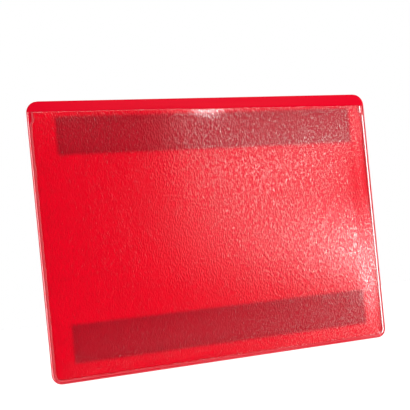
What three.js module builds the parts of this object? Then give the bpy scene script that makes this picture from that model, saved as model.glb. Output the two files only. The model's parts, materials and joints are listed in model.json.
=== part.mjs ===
// Magnetic label pouch for an A5 landscape sheet. A red back sheet and a clear front sheet are welded
// together down both sides and along the bottom, and magnetic strips taped to the back hold it to steel.
//
// Millimetres. +X is right, +Z is up and the clear front faces -Y. The steel surface is the plane y = 0,
// and the origin is the centre of the pouch's outline on that plane.
import * as THREE from 'three';

// The pouch's outline
const POUCH_WIDTH = 223;
const POUCH_HEIGHT = 163;
const TOP_CORNER_RADIUS = 7;
const BOTTOM_CORNER_RADIUS = 6;
const LIP_HEIGHT = 7; // how far the back sheet stands above the front sheet's edge

// Layers, in order from the steel surface forwards
const STRIP_THICKNESS = 1.0;
const TAPE_THICKNESS = 0.15;
const BACK_THICKNESS = 0.4;
const POCKET_GAP = 0.8;
const FRONT_THICKNESS = 0.25;

// The weld between the sheets, which widens into a tab where it ends at the mouth
const WELD_WIDTH = 2.3;
const MOUTH_TAB_WIDTH = 3.75;
const MOUTH_TAB_LENGTH = 4.9;
const MOUTH_TAB_FADE = 2.1; // the length over which the tab narrows to the weld's width

// The magnetic strips, laid by hand, so the upper one is a little off centre
const STRIP_LENGTH = 195;
const STRIP_HEIGHT = 22.4;
const UPPER_STRIP_BELOW_TOP = 9.2;
const LOWER_STRIP_ABOVE_BOTTOM = 10.7;
const UPPER_STRIP_SHIFT = 1.7;

// Worked out from the sizes above
const HALF_WIDTH = POUCH_WIDTH / 2;
const HALF_HEIGHT = POUCH_HEIGHT / 2;
const MOUTH_Z = HALF_HEIGHT - LIP_HEIGHT;
const TAPE_START = STRIP_THICKNESS;
const BACK_START = TAPE_START + TAPE_THICKNESS;
const POCKET_START = BACK_START + BACK_THICKNESS;
const FRONT_START = POCKET_START + POCKET_GAP;
const WELD_THICKNESS = POCKET_GAP + FRONT_THICKNESS;

// The centre of the lower left corner's arcs, and the angles at which the weld turns round it
const CORNER_X = BOTTOM_CORNER_RADIUS - HALF_WIDTH;
const CORNER_Z = BOTTOM_CORNER_RADIUS - HALF_HEIGHT;
const INNER_CORNER_RADIUS = BOTTOM_CORNER_RADIUS - WELD_WIDTH;
const SIDE_ANGLE = Math.PI;
const DIAGONAL_ANGLE = 1.25 * Math.PI;
const BOTTOM_ANGLE = 1.5 * Math.PI;
const QUARTER_TURN = Math.PI / 2;
const ARC_STEPS = 16; // in a quarter turn

const redFilm = new THREE.MeshStandardMaterial({ color: 0xd8001e, roughness: 0.35, metalness: 0 });
const clearFilm = new THREE.MeshStandardMaterial({
  color: 0xf4f4f4, roughness: 0.3, metalness: 0, transparent: true, opacity: 0.25,
});
const weldedFilm = new THREE.MeshStandardMaterial({ color: 0xdf1a30, roughness: 0.25, metalness: 0 });
const magnetRubber = new THREE.MeshStandardMaterial({ color: 0x3a2f2c, roughness: 0.7, metalness: 0 });
const adhesive = new THREE.MeshStandardMaterial({ color: 0xe8e4d8, roughness: 0.5, metalness: 0 });

const pouch = new THREE.Group();

// Adds a flat piece: an outline drawn in X and Z, lying `start` in front of the steel surface.
function addFlat(name, outline, start, thickness, material) {
  const geometry = new THREE.ExtrudeGeometry(outline, { depth: thickness, bevelEnabled: false });
  const mesh = new THREE.Mesh(geometry, material);
  mesh.name = name;
  mesh.rotation.x = Math.PI / 2;
  mesh.position.y = -start;
  pouch.add(mesh);
}

// Points round an arc, as many to the angle at every radius, so that pieces that share an arc meet exactly
function arcPoints(x, z, radius, fromAngle, toAngle) {
  const arc = new THREE.EllipseCurve(x, z, radius, radius, fromAngle, toAngle);
  return arc.getPoints(Math.round(((toAngle - fromAngle) / QUARTER_TURN) * ARC_STEPS));
}

// Points round an arc about the lower left corner's centre
function cornerArc(radius, fromAngle, toAngle) {
  return arcPoints(CORNER_X, CORNER_Z, radius, fromAngle, toAngle);
}

// The same points on the pouch's other side, in the opposite order
function mirrored(points) {
  return points.map((point) => new THREE.Vector2(-point.x, point.y)).reverse();
}

function backOutline() {
  const topX = TOP_CORNER_RADIUS - HALF_WIDTH;
  const topZ = HALF_HEIGHT - TOP_CORNER_RADIUS;
  const topCorner = arcPoints(topX, topZ, TOP_CORNER_RADIUS, QUARTER_TURN, SIDE_ANGLE);
  const left = [...topCorner, ...cornerArc(BOTTOM_CORNER_RADIUS, SIDE_ANGLE, BOTTOM_ANGLE)];
  return new THREE.Shape([...left, ...mirrored(left)]);
}

// The weld's inner edge on the left: down the mouth tab, in to the weld's width, and round to the diagonal
function leftInnerEdge() {
  const tabX = MOUTH_TAB_WIDTH - HALF_WIDTH;
  const weldX = WELD_WIDTH - HALF_WIDTH;
  const tabEndZ = MOUTH_Z - MOUTH_TAB_LENGTH;
  const fadeEndZ = tabEndZ - MOUTH_TAB_FADE;
  const middleZ = (tabEndZ + fadeEndZ) / 2;
  const fade = new THREE.CubicBezierCurve(
    new THREE.Vector2(tabX, tabEndZ),
    new THREE.Vector2(tabX, middleZ),
    new THREE.Vector2(weldX, middleZ),
    new THREE.Vector2(weldX, fadeEndZ),
  );
  return [
    new THREE.Vector2(tabX, MOUTH_Z),
    ...fade.getPoints(ARC_STEPS),
    ...cornerArc(INNER_CORNER_RADIUS, SIDE_ANGLE, DIAGONAL_ANGLE),
  ];
}

// The front sheet fills the weld's inner edge, so the two meet all round except at the mouth.
function frontOutline() {
  const pastDiagonal = cornerArc(INNER_CORNER_RADIUS, DIAGONAL_ANGLE, BOTTOM_ANGLE).slice(1);
  const left = [...leftInnerEdge(), ...pastDiagonal];
  return new THREE.Shape([...left, ...mirrored(left)]);
}

// The weld's side run, from the mouth down to the corner's diagonal
function leftWeldPoints() {
  return [
    new THREE.Vector2(-HALF_WIDTH, MOUTH_Z),
    ...cornerArc(BOTTOM_CORNER_RADIUS, SIDE_ANGLE, DIAGONAL_ANGLE),
    ...leftInnerEdge().reverse(),
  ];
}

// One edge of the weld's bottom run, from the left corner's diagonal to the right corner's
function bottomEdge(cornerRadius) {
  const corner = cornerArc(cornerRadius, DIAGONAL_ANGLE, BOTTOM_ANGLE);
  return [...corner, ...mirrored(corner)];
}

function bottomWeldPoints() {
  return [...bottomEdge(BOTTOM_CORNER_RADIUS), ...bottomEdge(INNER_CORNER_RADIUS).reverse()];
}

// A strip's outline, centred at x and z
function stripOutline(x, z) {
  const outline = new THREE.Shape();
  outline.moveTo(x - STRIP_LENGTH / 2, z - STRIP_HEIGHT / 2);
  outline.lineTo(x + STRIP_LENGTH / 2, z - STRIP_HEIGHT / 2);
  outline.lineTo(x + STRIP_LENGTH / 2, z + STRIP_HEIGHT / 2);
  outline.lineTo(x - STRIP_LENGTH / 2, z + STRIP_HEIGHT / 2);
  return outline;
}

function addMagnet(side, x, z) {
  const outline = stripOutline(x, z);
  addFlat(`${side}_magnetic_strip`, outline, 0, STRIP_THICKNESS, magnetRubber);
  addFlat(`${side}_adhesive_tape`, outline, TAPE_START, TAPE_THICKNESS, adhesive);
}

addFlat('back_sheet', backOutline(), BACK_START, BACK_THICKNESS, redFilm);
addFlat('front_sheet', frontOutline(), FRONT_START, FRONT_THICKNESS, clearFilm);

addFlat('left_weld', new THREE.Shape(leftWeldPoints()), POCKET_START, WELD_THICKNESS, weldedFilm);
addFlat('right_weld', new THREE.Shape(mirrored(leftWeldPoints())), POCKET_START, WELD_THICKNESS, weldedFilm);
addFlat('bottom_weld', new THREE.Shape(bottomWeldPoints()), POCKET_START, WELD_THICKNESS, weldedFilm);

addMagnet('upper', UPPER_STRIP_SHIFT, HALF_HEIGHT - UPPER_STRIP_BELOW_TOP - STRIP_HEIGHT / 2);
addMagnet('lower', 0, LOWER_STRIP_ABOVE_BOTTOM + STRIP_HEIGHT / 2 - HALF_HEIGHT);

export default pouch;
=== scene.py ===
import json
import math

import bpy
import numpy as np
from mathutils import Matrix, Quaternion, Vector

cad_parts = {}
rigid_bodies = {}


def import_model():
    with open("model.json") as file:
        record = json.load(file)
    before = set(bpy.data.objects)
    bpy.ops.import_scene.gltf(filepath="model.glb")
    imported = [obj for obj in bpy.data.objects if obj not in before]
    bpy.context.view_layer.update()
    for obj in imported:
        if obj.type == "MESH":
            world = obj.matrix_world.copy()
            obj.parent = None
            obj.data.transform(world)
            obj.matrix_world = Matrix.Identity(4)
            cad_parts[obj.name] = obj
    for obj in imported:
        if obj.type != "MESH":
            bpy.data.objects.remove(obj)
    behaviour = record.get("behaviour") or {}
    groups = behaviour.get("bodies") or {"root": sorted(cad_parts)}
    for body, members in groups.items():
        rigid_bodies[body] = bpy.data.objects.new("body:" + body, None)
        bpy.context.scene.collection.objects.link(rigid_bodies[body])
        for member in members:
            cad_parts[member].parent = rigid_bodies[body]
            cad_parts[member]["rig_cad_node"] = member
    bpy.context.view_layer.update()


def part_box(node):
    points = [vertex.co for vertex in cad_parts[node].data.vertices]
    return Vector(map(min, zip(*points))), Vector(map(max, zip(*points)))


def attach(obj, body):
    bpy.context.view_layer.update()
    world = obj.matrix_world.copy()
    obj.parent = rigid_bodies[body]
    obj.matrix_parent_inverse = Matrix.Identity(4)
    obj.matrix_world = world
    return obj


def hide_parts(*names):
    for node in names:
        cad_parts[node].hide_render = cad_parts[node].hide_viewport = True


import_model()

MM = 0.001

# ---------------------------------------------------------------------------------------------------------
# Places from the frame
# ---------------------------------------------------------------------------------------------------------
back_low, back_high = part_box("back_sheet")
front_low, front_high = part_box("front_sheet")
left_weld_low, left_weld_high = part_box("left_weld")
STRIPS = {side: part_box(f"{side}_magnetic_strip") for side in ("upper", "lower")}

HALF_WIDTH = (back_high[0] - back_low[0]) / 2
TOP = back_high[2]
BOTTOM = back_low[2]
MOUTH = front_high[2]  # the height of the front sheet's top edge, where the pouch is open
LIP = TOP - MOUTH
WELD_WIDTH = front_low[2] - BOTTOM
TAB_WIDTH = left_weld_high[0] - left_weld_low[0]
BACK_FACE = back_low[1]  # the back sheet's front face, which the weld and the pocket start from
BACK_THICKNESS = back_high[1] - back_low[1]
FRONT_THICKNESS = front_high[1] - front_low[1]

# Sizes that the boxes don't give
TOP_RADIUS = 7.0 * MM
BOTTOM_RADIUS = 6.0 * MM
TAB_LENGTH = 4.9 * MM
TAB_FADE = 2.1 * MM
MOUTH_SLANT = 0.78 * MM  # the front sheet's edge is this much higher at its left end and lower at its right

# ---------------------------------------------------------------------------------------------------------
# Camera
# ---------------------------------------------------------------------------------------------------------
CAMERA_AZIMUTH = math.radians(-20.52)
CAMERA_ELEVATION = math.radians(-0.18)
CAMERA_ROLL = math.radians(-5.59)
CAMERA_DISTANCE = 0.4806
CAMERA_AIM = Vector((-0.0115, BACK_FACE, -0.0147))
CAMERA_LENS_MM = 68.65
CAMERA_SENSOR_MM = 36.0
CAMERA_SHIFT_Y = 0.1183


def direction(azimuth, elevation):
    """The unit vector from the object towards an azimuth, 0 being the front, and an elevation."""
    across = math.cos(elevation)
    return Vector((math.sin(azimuth) * across, -math.cos(azimuth) * across, math.sin(elevation)))


def make_camera():
    data = bpy.data.cameras.new("camera")
    data.lens = CAMERA_LENS_MM
    data.sensor_width = CAMERA_SENSOR_MM
    data.shift_y = CAMERA_SHIFT_Y
    data.clip_start = 0.01
    camera = bpy.data.objects.new("camera", data)
    bpy.context.collection.objects.link(camera)
    back = direction(CAMERA_AZIMUTH, CAMERA_ELEVATION)
    turn = back.to_track_quat("Z", "Y") @ Quaternion((0, 0, 1), CAMERA_ROLL)
    camera.location = CAMERA_AIM + back * CAMERA_DISTANCE
    camera.rotation_euler = turn.to_euler()
    bpy.context.scene.camera = camera


make_camera()

# ---------------------------------------------------------------------------------------------------------
# Light and background
# ---------------------------------------------------------------------------------------------------------
FLOOR_Z = -0.6
FLOOR_MIDDLE_Y = 3.4
FLOOR_SIZE = (12, 9.2, 1)
FILL = 1.80  # the brightness of the white tent all round
CARD_AZIMUTH = 20  # the middle of the dark card, in degrees
CARD_ELEVATION = 2
CARD_RADIUS = 37  # how far the card reaches from its middle, in degrees
CARD_EDGE = 12  # how wide its soft edge is
CARD_GLOW = 0.01  # the brightness of the card

# Name, azimuth, elevation, distance, width, height, brightness and tilt. Angles are in degrees.
SOFTBOXES = (
    ("tall_strip", 23.6, 10.5, 2.5, 0.131, 1.11, 2.6, 9),
    ("level_strip", 40.4, -3.1, 2.5, 0.131, 0.92, 10.5, 72),
    ("low_softbox", 29.7, -14.2, 2.5, 1.25, 0.39, 1.2, 14),
    ("slanted_strip", 32.6, 8.9, 2.5, 0.59, 0.131, 4.0, 33),
    ("high_strip", 21.5, 23.0, 2.5, 0.85, 0.24, 11.5, -6),
    ("edge_strip", 72, -6, 1.2, 0.34, 1.0, 15.0, 0),
)


def make_softbox(name, azimuth, elevation, distance, width, height, brightness, tilt):
    """A rectangular light that faces the object. The camera doesn't see it, but the film mirrors it."""
    data = bpy.data.lights.new(name, "AREA")
    data.shape = "RECTANGLE"
    data.size = width
    data.size_y = height
    data.energy = brightness * math.pi * width * height
    light = bpy.data.objects.new(name, data)
    bpy.context.collection.objects.link(light)
    away = direction(math.radians(azimuth), math.radians(elevation))
    light.location = away * distance
    turn = away.to_track_quat("Z", "Y") @ Quaternion((0, 0, 1), math.radians(tilt))
    light.rotation_euler = turn.to_euler()
    light.visible_camera = False


def make_world():
    """White to the camera. To the object, a white tent with one dark card, which the film mirrors."""
    world = bpy.data.worlds.new("studio")
    bpy.context.scene.world = world
    world.cycles.sampling_method = "NONE"
    world.use_nodes = True
    nodes, links = world.node_tree.nodes, world.node_tree.links
    nodes.clear()
    coordinates = nodes.new("ShaderNodeTexCoord")
    nearness = nodes.new("ShaderNodeVectorMath")
    nearness.operation = "DOT_PRODUCT"
    links.new(coordinates.outputs["Generated"], nearness.inputs[0])
    nearness.inputs[1].default_value = direction(math.radians(CARD_AZIMUTH), math.radians(CARD_ELEVATION))
    card = nodes.new("ShaderNodeMapRange")
    card.interpolation_type = "SMOOTHSTEP"
    card.inputs["From Min"].default_value = math.cos(math.radians(CARD_RADIUS + CARD_EDGE))
    card.inputs["From Max"].default_value = math.cos(math.radians(CARD_RADIUS))
    card.inputs["To Min"].default_value = FILL
    card.inputs["To Max"].default_value = CARD_GLOW
    links.new(nearness.outputs["Value"], card.inputs["Value"])
    tent = nodes.new("ShaderNodeBackground")
    links.new(card.outputs["Result"], tent.inputs["Strength"])
    white = nodes.new("ShaderNodeBackground")
    white.inputs["Color"].default_value = (1, 1, 1, 1)
    path = nodes.new("ShaderNodeLightPath")
    mix = nodes.new("ShaderNodeMixShader")
    links.new(path.outputs["Is Camera Ray"], mix.inputs[0])
    links.new(tent.outputs[0], mix.inputs[1])
    links.new(white.outputs[0], mix.inputs[2])
    output = nodes.new("ShaderNodeOutputWorld")
    links.new(mix.outputs[0], output.inputs["Surface"])


def make_floor():
    """A pale floor, well below the pouch, which hangs."""
    bpy.ops.mesh.primitive_plane_add(size=1, location=(0, FLOOR_MIDDLE_Y, FLOOR_Z))
    floor = bpy.context.object
    floor.name = "floor"
    floor.scale = FLOOR_SIZE
    material = bpy.data.materials.new("floor_white")
    material.use_nodes = True
    shader = material.node_tree.nodes["Principled BSDF"]
    shader.inputs["Base Color"].default_value = (0.92, 0.92, 0.92, 1)
    shader.inputs["Roughness"].default_value = 0.9
    floor.data.materials.append(material)


make_world()
make_floor()
for softbox in SOFTBOXES:
    make_softbox(*softbox)
bpy.context.scene.view_settings.view_transform = "Standard"

# ---------------------------------------------------------------------------------------------------------
# Shader helpers
# ---------------------------------------------------------------------------------------------------------


class Graph:
    """A material's node tree, with short calls for the nodes used here."""

    def __init__(self, name):
        self.material = bpy.data.materials.new(name)
        self.material.use_nodes = True
        self.tree = self.material.node_tree
        self.tree.nodes.clear()
        self.output = self.tree.nodes.new("ShaderNodeOutputMaterial")
        coordinates = self.tree.nodes.new("ShaderNodeTexCoord")
        self.place = coordinates.outputs["Object"]
        split = self.tree.nodes.new("ShaderNodeSeparateXYZ")
        self.tree.links.new(self.place, split.inputs[0])
        self.x = split.outputs["X"]
        self.z = split.outputs["Z"]

    def feed(self, socket, value):
        """Links a node's output to a socket, or sets the socket to a plain value."""
        if isinstance(value, bpy.types.NodeSocket):
            self.tree.links.new(value, socket)
        else:
            socket.default_value = value

    def math(self, operation, a, b=0.0):
        node = self.tree.nodes.new("ShaderNodeMath")
        node.operation = operation
        self.feed(node.inputs[0], a)
        self.feed(node.inputs[1], b)
        return node.outputs[0]

    def smooth(self, value, start, end):
        """0 below start, 1 above end and smooth between."""
        node = self.tree.nodes.new("ShaderNodeMapRange")
        node.interpolation_type = "SMOOTHSTEP"
        self.feed(node.inputs["Value"], value)
        node.inputs["From Min"].default_value = start
        node.inputs["From Max"].default_value = end
        return node.outputs["Result"]

    def scaled_place(self, x_size, z_size, y_size=10 * MM):
        """Coordinates in which a texture feature of one unit has these sizes, in metres."""
        node = self.tree.nodes.new("ShaderNodeVectorMath")
        node.operation = "MULTIPLY"
        self.feed(node.inputs[0], self.place)
        node.inputs[1].default_value = (1 / x_size, 1 / y_size, 1 / z_size)
        return node.outputs[0]

    def noise(self, place, detail=2.0, distortion=0.0):
        node = self.tree.nodes.new("ShaderNodeTexNoise")
        self.feed(node.inputs["Vector"], place)
        node.inputs["Scale"].default_value = 1.0
        node.inputs["Detail"].default_value = detail
        node.inputs["Roughness"].default_value = 0.5
        node.inputs["Distortion"].default_value = distortion
        return node.outputs[0]

    def colours(self, factor, low, high):
        """A blend of two colours: low where factor is 0, high where it is 1."""
        node = self.tree.nodes.new("ShaderNodeMix")
        node.data_type = "RGBA"
        self.feed(node.inputs[0], factor)
        self.feed(node.inputs[6], low)
        self.feed(node.inputs[7], high)
        return node.outputs[2]

    def bump(self, height, distance, before=None):
        """A normal bent by a height of 0 to 1 times a real distance, on top of an earlier normal."""
        node = self.tree.nodes.new("ShaderNodeBump")
        node.inputs["Distance"].default_value = distance
        self.feed(node.inputs["Height"], height)
        if before is not None:
            self.feed(node.inputs["Normal"], before)
        return node.outputs[0]

    def principled(self, **values):
        """A Principled shader. Its inputs are named in lower case, such as base_color."""
        node = self.tree.nodes.new("ShaderNodeBsdfPrincipled")
        for name, value in values.items():
            self.feed(node.inputs[name.replace("_", " ").title().replace("Ior", "IOR")], value)
        return node.outputs[0]

    def finish(self, shader):
        self.tree.links.new(shader, self.output.inputs["Surface"])
        return self.material


# ---------------------------------------------------------------------------------------------------------
# Materials
# ---------------------------------------------------------------------------------------------------------
RED = (0.765, 0.0006, 0.015, 1)
RED_DEEP = (0.715, 0.0004, 0.013, 1)
# painted shade: the lip's red is darker than the film's own red, to even out the light the clear film takes
# from the red below the mouth
LIP_SHADED_RED = (0.60, 0.0006, 0.014, 1)
BAND_RED = (0.41, 0.0055, 0.016, 1)
BAND_EDGE_RED = (0.37, 0.0045, 0.014, 1)
BAND_SOFTNESS = 1.6 * MM
BAND_EDGE = 3 * MM  # how far in from its ends and sides a band is of the edge colour
PAINTED_SHEEN_RED = (1, 0.02, 0.03, 1)  # painted sheen: the red film's colour tends to this under the clear film's grain crests
# the weld's red: partly its own deeper red and partly painted shade, darker all over to stand in for the
# shade of its pressed groove
WELD_RED_AND_SHADE = (0.60, 0.002, 0.016, 1)
WELD_RED_AND_SHADE_DEEP = (0.50, 0.001, 0.012, 1)
RUBBER_BROWN = (0.034, 0.026, 0.022, 1)
RUBBER_DARK = (0.018, 0.013, 0.011, 1)
RUBBER_SPECK = (0.09, 0.075, 0.065, 1)
TAPE_CREAM = (0.76, 0.72, 0.62, 1)
TAPE_DARK = (0.62, 0.57, 0.46, 1)
FILM_MIRROR = 0.045  # the share of light that each of the film's faces mirrors head on
FILM_ROUGHNESS = 0.19
GRAIN_DEPTH = 0.026 * MM
SEEN_DEPTH = 5.5 * GRAIN_DEPTH  # how deep the red film looks rippled when it is seen through the grain
GRAIN_WIDTH = 0.58 * MM
GRAIN_LENGTH = 1.9 * MM
GRAIN_WANDER = 1.4  # how far the streaks lean to and fro, in widths
HOLLOW_SHINE = 0.4  # how much of the mirrored light the grain's hollows give back
CREST_SHINE = 2.0  # and how much more its crests do
PAINTED_SHEEN_SHARE = 0.07  # how much painted sheen lightens the red film's colour under the grain's crests


def strip_mask(graph, box, inset, softness):
    """1 over a magnetic strip and 0 off it, with a soft edge."""
    low, high = box
    inside = []
    for along, axis in ((graph.x, 0), (graph.z, 2)):
        middle = (low[axis] + high[axis]) / 2
        half = (high[axis] - low[axis]) / 2 - inset
        off = graph.math("ABSOLUTE", graph.math("SUBTRACT", along, middle))
        inside.append(graph.smooth(graph.math("SUBTRACT", half, off), -softness, softness))
    return graph.math("MULTIPLY", *inside)


def strips_mask(graph, inset, softness):
    masks = [strip_mask(graph, box, inset, softness) for box in STRIPS.values()]
    return graph.math("MAXIMUM", *masks)


def grain_height(graph):
    """The clear film's embossing, 0 to 1: fine, wavy streaks that mostly run up and down."""
    waver = graph.noise(graph.scaled_place(6 * MM, 6 * MM), detail=1)
    shift = graph.tree.nodes.new("ShaderNodeCombineXYZ")
    graph.feed(shift.inputs[0], graph.math("MULTIPLY", graph.math("SUBTRACT", waver, 0.5), GRAIN_WANDER))
    moved = graph.tree.nodes.new("ShaderNodeVectorMath")
    moved.operation = "ADD"
    graph.feed(moved.inputs[0], graph.scaled_place(GRAIN_WIDTH, GRAIN_LENGTH))
    graph.feed(moved.inputs[1], shift.outputs[0])
    return graph.smooth(graph.noise(moved.outputs[0], detail=1.0, distortion=0.25), 0.25, 0.75)


def red_film_material():
    """Smooth red soft PVC, through which the magnetic strips behind it show as dark, soft-edged bands.

    Below the mouth it is seen through the clear film's grain, which ripples it a little, and its colour
    carries a painted sheen: it is painted lighter under the grain's crests."""
    graph = Graph("red_film")
    mottle = graph.noise(graph.scaled_place(50 * MM, 30 * MM), detail=2)
    red = graph.colours(mottle, RED_DEEP, RED)
    band = graph.colours(strips_mask(graph, BAND_EDGE, BAND_EDGE), BAND_EDGE_RED, BAND_RED)
    slant = graph.math("MULTIPLY", graph.x, MOUTH_SLANT / HALF_WIDTH)
    below_mouth = graph.math("SUBTRACT", MOUTH, graph.math("ADD", graph.z, slant))
    covered = graph.smooth(below_mouth, 0.0, 0.4 * MM)
    # painted shade: the bare lip above the mouth is painted a darker red than the film's own
    red = graph.colours(covered, LIP_SHADED_RED, red)
    colour = graph.colours(strips_mask(graph, 0.0, BAND_SOFTNESS), red, band)
    grain = graph.math("MULTIPLY", grain_height(graph), covered)
    # painted sheen: the red is painted lighter where the clear film's grain has its crests
    colour = graph.colours(graph.math("MULTIPLY", grain, PAINTED_SHEEN_SHARE), colour, PAINTED_SHEEN_RED)
    ripple = graph.noise(graph.scaled_place(12 * MM, 6 * MM), detail=3)
    normal = graph.bump(ripple, 0.02 * MM)
    normal = graph.bump(grain, SEEN_DEPTH, before=normal)
    shader = graph.principled(base_color=colour, roughness=0.25, specular_ior_level=0.03, normal=normal)
    return graph.finish(shader)


def clear_film_material():
    """Clear soft PVC with an embossed grain: it is seen through, and its surface shines."""
    graph = Graph("clear_film")
    grain = grain_height(graph)
    normal = graph.bump(grain, GRAIN_DEPTH)
    facing = graph.tree.nodes.new("ShaderNodeLayerWeight")
    facing.inputs["Blend"].default_value = 0.5
    graph.feed(facing.inputs["Normal"], normal)
    grazing = graph.math("POWER", facing.outputs["Facing"], 5.0)
    mirrored = graph.math("ADD", FILM_MIRROR, graph.math("MULTIPLY", grazing, 1 - FILM_MIRROR))
    crests = graph.math("MULTIPLY", graph.math("POWER", grain, 2.0), CREST_SHINE)
    polish = graph.math("ADD", HOLLOW_SHINE, crests)
    mirrored = graph.math("MULTIPLY", mirrored, polish)
    glossy = graph.tree.nodes.new("ShaderNodeBsdfGlossy")
    glossy.distribution = "BECKMANN"
    glossy.inputs["Color"].default_value = (1, 1, 1, 1)
    glossy.inputs["Roughness"].default_value = FILM_ROUGHNESS
    graph.feed(glossy.inputs["Normal"], normal)
    clear = graph.tree.nodes.new("ShaderNodeBsdfTransparent")
    clear.inputs["Color"].default_value = (1, 1, 1, 1)
    mix = graph.tree.nodes.new("ShaderNodeMixShader")
    graph.feed(mix.inputs[0], mirrored)
    graph.feed(mix.inputs[1], clear.outputs[0])
    graph.feed(mix.inputs[2], glossy.outputs[0])
    return graph.finish(mix.outputs[0])


def weld_material():
    """Clear film melted on to red: smooth and glossy, its deep red partly its own and partly painted shade
    for its pressed groove.
    """
    graph = Graph("welded_film")
    mottle = graph.noise(graph.scaled_place(4 * MM, 4 * MM), detail=2)
    colour = graph.colours(mottle, WELD_RED_AND_SHADE_DEEP, WELD_RED_AND_SHADE)
    ripple = graph.noise(graph.scaled_place(3 * MM, 3 * MM), detail=2)
    normal = graph.bump(ripple, 0.03 * MM)
    shader = graph.principled(
        base_color=colour,
        roughness=0.12,
        specular_ior_level=0.1,
        coat_weight=1.0,
        coat_roughness=0.06,
        normal=normal,
    )
    return graph.finish(shader)


def magnet_material():
    """Ferrite-filled rubber: dark brown and matt, with fine lines along the strip and pale specks."""
    graph = Graph("magnet_rubber")
    lines = graph.noise(graph.scaled_place(50 * MM, 0.4 * MM), detail=3)
    specks = graph.smooth(graph.noise(graph.scaled_place(0.6 * MM, 0.6 * MM, 0.6 * MM), detail=1), 0.66, 0.74)
    dark = graph.colours(lines, RUBBER_DARK, RUBBER_BROWN)
    colour = graph.colours(graph.math("MULTIPLY", specks, 0.5), dark, RUBBER_SPECK)
    roughness = graph.math("ADD", 0.5, graph.math("MULTIPLY", lines, 0.2))
    normal = graph.bump(lines, 0.02 * MM)
    return graph.finish(graph.principled(base_color=colour, roughness=roughness, normal=normal))


def tape_material():
    """Pale double-sided tape, seen only at its edge."""
    graph = Graph("adhesive")
    mottle = graph.noise(graph.scaled_place(3 * MM, 3 * MM), detail=2)
    colour = graph.colours(mottle, TAPE_DARK, TAPE_CREAM)
    return graph.finish(graph.principled(base_color=colour, roughness=0.45))


# ---------------------------------------------------------------------------------------------------------
# Mesh helpers
# ---------------------------------------------------------------------------------------------------------


def make_object(name, points, faces, material):
    """A smooth-shaded mesh object with one material."""
    mesh = bpy.data.meshes.new(name)
    mesh.from_pydata([tuple(p) for p in points], [], [tuple(f) for f in faces])
    mesh.validate()
    mesh.polygons.foreach_set("use_smooth", [True] * len(mesh.polygons))
    mesh.materials.append(material)
    piece = bpy.data.objects.new(name, mesh)
    bpy.context.collection.objects.link(piece)
    return piece


def smoothstep(value, start, end):
    """0 below start, 1 above end and smooth between."""
    t = np.clip((value - start) / (end - start), 0, 1)
    return t * t * (3 - 2 * t)


def bump_shape(value, middle, half_width):
    """A smooth hump, 1 at its middle and 0 from half_width away."""
    t = np.clip((value - middle) / half_width, -1, 1)
    return np.cos(t * math.pi / 2) ** 2


def side_inset(z, low, high, low_radius, high_radius):
    """How far a rounded outline's side lies inside the straight side, at each height z."""
    below = np.clip(low + low_radius - z, 0, low_radius)
    inset = low_radius - np.sqrt(low_radius**2 - below**2)
    if high_radius:
        above = np.clip(z - (high - high_radius), 0, high_radius)
        inset = inset + high_radius - np.sqrt(high_radius**2 - above**2)
    return inset


def spread(start, end, step, edge_step, edge):
    """Values from start to end, closer together over the last stretch at both ends."""
    near = np.arange(0, edge, edge_step)
    middle = np.linspace(start + edge, end - edge, max(2, round((end - start - 2 * edge) / step) + 1))
    return np.concatenate([start + near, middle, (end - near)[::-1]])


def level(x, z):
    """The rise of a sheet whose rows stay where they are."""
    return 0 * x


def thin_sheet(name, rows, left, right, columns, front_face, thickness, material, rise=level):
    """A closed film. rows are heights, left and right its sides at each height, columns run from 0 to 1.

    front_face gives the front's Y at any x and z, and rise how far a point is moved up."""
    z = np.repeat(rows[:, None], len(columns), axis=1)
    x = left[:, None] + (right - left)[:, None] * columns[None, :]
    y = front_face(x, z)
    z = z + rise(x, z)
    fronts = np.stack([x, y, z], axis=-1).reshape(-1, 3)
    backs = fronts + (0, thickness, 0)
    count, wide = len(fronts), len(columns)
    faces = []
    for r in range(len(rows) - 1):
        for c in range(wide - 1):
            a = r * wide + c
            faces.append((a, a + 1, a + wide + 1, a + wide))
            faces.append((count + a, count + a + wide, count + a + wide + 1, count + a + 1))
    rim = list(range(wide))
    rim += [r * wide + wide - 1 for r in range(1, len(rows))]
    rim += [(len(rows) - 1) * wide + c for c in range(wide - 2, -1, -1)]
    rim += [r * wide for r in range(len(rows) - 2, 0, -1)]
    for a, b in zip(rim, rim[1:] + rim[:1]):
        faces.append((a, count + a, count + b, b))
    return make_object(name, np.concatenate([fronts, backs]), faces, material)


# ---------------------------------------------------------------------------------------------------------
# The red back sheet
# ---------------------------------------------------------------------------------------------------------
LIP_LEAN = 0.88 * MM  # how far back the lip would lean at the end of its bend
LIP_BEND_START = TOP - LIP - 1 * MM
LIP_BEND_END = TOP + 4 * MM  # past the top edge, so the lip leans back three quarters of that


def back_face(x, z):
    """Y of the back sheet's front face: flat, with a lip that leans back and isn't quite straight."""
    lip = smoothstep(z, LIP_BEND_START, LIP_BEND_END)
    wave = 0.10 * MM * np.sin(x / (31 * MM) + 0.6) + 0.06 * MM * np.sin(x / (12.5 * MM))
    return BACK_FACE + lip * (LIP_LEAN + wave)


def make_back_film(material):
    """The red film, the pouch's full outline."""
    rows = spread(BOTTOM, TOP, 4 * MM, 0.35 * MM, 7.7 * MM)
    inset = side_inset(rows, BOTTOM, TOP, BOTTOM_RADIUS, TOP_RADIUS)
    columns = (spread(-HALF_WIDTH, HALF_WIDTH, 3 * MM, 1 * MM, 6 * MM) + HALF_WIDTH) / (2 * HALF_WIDTH)
    left = inset - HALF_WIDTH
    return thin_sheet("red_back_film", rows, left, -left, columns, back_face, BACK_THICKNESS, material)


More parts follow.
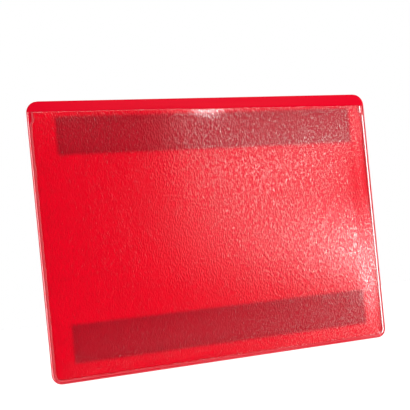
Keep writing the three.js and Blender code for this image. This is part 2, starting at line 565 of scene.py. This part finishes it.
# ---------------------------------------------------------------------------------------------------------
# The clear front sheet
# ---------------------------------------------------------------------------------------------------------
FILM_UNDER_WELD = 0.15 * MM  # how far the clear film runs in under the weld's inner edge
FILM_FOOT = 0.5 * MM  # the height of the film's front face where it leaves the weld
SLANT_FADE = 12 * MM  # how far below the mouth its slant dies out
FOOT_REACH = 7.5 * MM  # how gently the film rises from the weld


def mouth_rise(x, z):
    """How far the slant of the mouth's edge lifts a point, fading out below the mouth."""
    return -MOUTH_SLANT * x / HALF_WIDTH * smoothstep(z, MOUTH - SLANT_FADE, MOUTH)


def weld_width(z):
    """The weld's width at each height on the sides: a tab at the mouth, which narrows to the weld."""
    tab_end = MOUTH - TAB_LENGTH
    return WELD_WIDTH + (TAB_WIDTH - WELD_WIDTH) * smoothstep(z, tab_end - TAB_FADE, tab_end)


def swell(value, middle, width):
    """A smooth swelling, 1 at its middle and about a third of that one width away."""
    return np.exp(-(((value - middle) / width) ** 2))


def film_height(x, z):
    """How far the clear film stands forward of where it leaves the weld.

    It is a shallow, slightly wavy dome, pinched in along the weld and most of all on the right. The mouth
    opens a little left of the middle, and its edge curls in."""
    from_sides = HALF_WIDTH - np.abs(x) - WELD_WIDTH
    from_bottom = z - BOTTOM - WELD_WIDTH
    rise = 1 - np.exp(-np.clip(np.minimum(from_sides, from_bottom), 0, None) / FOOT_REACH)
    from_mouth = MOUTH - z
    dome = 0.55 - 0.8 * (z / TOP) ** 2 + 0.2 * (x / HALF_WIDTH) ** 2 + 0.15 * (x * z) / (HALF_WIDTH * TOP)
    wave = 0.25 * np.sin(x / (44 * MM) + 1.76) * np.cos(z / (38 * MM) - 1.92)
    mouth = 1.0 * swell(x, -27 * MM, 30 * MM) * np.exp(-from_mouth / (40 * MM))
    curl = 0.7 * swell(x, -1.5 * MM, 12 * MM) * np.exp(-from_mouth / (5 * MM))
    pinch = 0.7 * swell(x, 108 * MM, 6.6 * MM) * swell(z, -35 * MM, 47 * MM)
    crease = 0.13 * swell(x, 101 * MM, 3.3 * MM) * smoothstep(z, -25 * MM, 25 * MM)
    return MM * rise * (dome + wave + mouth - curl - pinch - crease)


def film_face(x, z):
    """Y of the clear film's front face."""
    return BACK_FACE - FILM_FOOT - film_height(x, z)


def make_clear_film(material):
    """The clear film, whose edges run in under the weld's inner edge on three sides."""
    rows = spread(BOTTOM + WELD_WIDTH - FILM_UNDER_WELD, MOUTH, 1.2 * MM, 0.4 * MM, 6 * MM)
    inner_radius = BOTTOM_RADIUS - WELD_WIDTH + FILM_UNDER_WELD
    corner = side_inset(rows, rows[0], rows[-1], inner_radius, 0)
    inset = weld_width(rows) - FILM_UNDER_WELD + corner
    columns = (spread(-HALF_WIDTH, HALF_WIDTH, 1.0 * MM, 0.35 * MM, 6 * MM) + HALF_WIDTH) / (2 * HALF_WIDTH)
    left = inset - HALF_WIDTH
    return thin_sheet(
        "clear_film", rows, left, -left, columns, film_face, FRONT_THICKNESS, material, rise=mouth_rise
    )


# ---------------------------------------------------------------------------------------------------------
# The weld
# ---------------------------------------------------------------------------------------------------------
RIM_WIDTH = 0.95 * MM  # the raised rim along the weld's outer edge
RIM_HEIGHT = 0.24 * MM
RIM_CREST = 0.42 * MM  # where the rim is highest, in from the outer edge
RIM_FALL = 0.5 * MM  # how far from its crest the rim has died out
GROOVE_END = 1.2 * MM  # where the weld starts to rise to its inner edge
INNER_EDGE = 0.55 * MM  # the inner edge's height over the back sheet
SIDE_GROOVE = 0.16 * MM  # the groove's height down the sides
BOTTOM_GROOVE = 0.40 * MM  # and along the bottom
GROOVE_CHANGE_START = HALF_WIDTH - 25 * MM  # where the bottom's groove starts to change to the sides'
GROOVE_CHANGE_END = HALF_WIDTH - 3 * MM
WELD_SINK = 0.03 * MM  # how far the bead's underside lies in the back sheet, so that no gap shows
TAB_END_STRETCH = 9 * MM  # the stretch below the mouth over which the path's points are closest together
TAB_END_STEP = 0.25 * MM


def weld_path():
    """Points down the left side, along the bottom and up the right, each with the direction inwards."""
    corner_z = BOTTOM + BOTTOM_RADIUS
    corner_x = HALF_WIDTH - BOTTOM_RADIUS
    near_mouth = MOUTH - np.arange(0, TAB_END_STRETCH, TAB_END_STEP)
    side = np.concatenate([near_mouth, np.linspace(MOUTH - TAB_END_STRETCH, corner_z, 90)])
    points = [((-HALF_WIDTH, z), (1, 0)) for z in side]
    for angle in np.linspace(math.pi, 1.5 * math.pi, 17)[1:]:
        outward = (math.cos(angle), math.sin(angle))
        place = (-corner_x + BOTTOM_RADIUS * outward[0], corner_z + BOTTOM_RADIUS * outward[1])
        points.append((place, (-outward[0], -outward[1])))
    half_bottom = [((x, BOTTOM), (0, 1)) for x in np.linspace(-corner_x, 0, 60)[1:]]
    left = points + half_bottom
    right = [((-p[0], p[1]), (-n[0], n[1])) for p, n in reversed(left[:-1])]
    return left + right


def weld_height(across, x):
    """The weld's height over the back sheet: a round rim, a pressed groove, and a rise to the inner edge."""
    sideways = smoothstep(abs(x), GROOVE_CHANGE_START, GROOVE_CHANGE_END)
    groove = BOTTOM_GROOVE + (SIDE_GROOVE - BOTTOM_GROOVE) * sideways
    rim = RIM_HEIGHT * bump_shape(across, RIM_CREST, RIM_FALL)
    climb = np.clip((across - GROOVE_END) / (WELD_WIDTH - GROOVE_END), 0, 1)
    climb = 0.7 * climb + 0.3 * smoothstep(climb, 0, 1)
    return groove + rim + (INNER_EDGE - groove) * climb


def weld_reach(across, width):
    """Widens the weld's section to a given width by stretching its groove."""
    extra = width - WELD_WIDTH
    return across + extra * np.clip((across - RIM_WIDTH) / (GROOVE_END - RIM_WIDTH), 0, 1)


def make_weld(material):
    """The weld's section, swept round its path as one closed bead."""
    across = np.concatenate([np.linspace(0, RIM_WIDTH, 13), np.linspace(RIM_WIDTH, WELD_WIDTH, 17)[1:]])
    section = np.concatenate([[0.0], across, [WELD_WIDTH]])
    size = len(section)
    path = weld_path()
    points = []
    for (x, z), (inward_x, inward_z) in path:
        width = weld_width(z) if inward_z == 0 else WELD_WIDTH
        reach = weld_reach(section, width)
        height = weld_height(section, x)
        height[[0, -1]] = -WELD_SINK
        px = x + inward_x * reach
        pz = z + inward_z * reach
        pz = pz + mouth_rise(px, pz)
        points.append(np.stack([px, BACK_FACE - height, pz], axis=-1))
    faces = []
    for i in range(len(path) - 1):
        for j in range(size):
            a, b = i * size + j, i * size + (j + 1) % size
            faces.append((a, b, b + size, a + size))
    faces.append(tuple(range(size))[::-1])
    last = (len(path) - 1) * size
    faces.append(tuple(last + j for j in range(size)))
    return make_object("weld_bead", np.concatenate(points), faces, material)


# ---------------------------------------------------------------------------------------------------------
# Putting it together
# ---------------------------------------------------------------------------------------------------------


def set_material(node, material):
    """Gives a CAD node that stays its finished material, and takes the sharpness off its cut edges."""
    piece = next(o for o in bpy.data.objects if o.get("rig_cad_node") == node)
    for slot in piece.material_slots:
        slot.material = material
    if not piece.material_slots:
        piece.data.materials.append(material)
    bevel = piece.modifiers.new("cut_edge", "BEVEL")
    bevel.width = 0.06 * MM
    bevel.segments = 2


back_film = make_back_film(red_film_material())
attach(back_film, "root")
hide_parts("back_sheet")

clear_film = make_clear_film(clear_film_material())
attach(clear_film, "root")
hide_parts("front_sheet")

weld = make_weld(weld_material())
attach(weld, "root")
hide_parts("left_weld", "right_weld", "bottom_weld")

magnet = magnet_material()
tape = tape_material()
for side in STRIPS:
    set_material(f"{side}_magnetic_strip", magnet)
    set_material(f"{side}_adhesive_tape", tape)
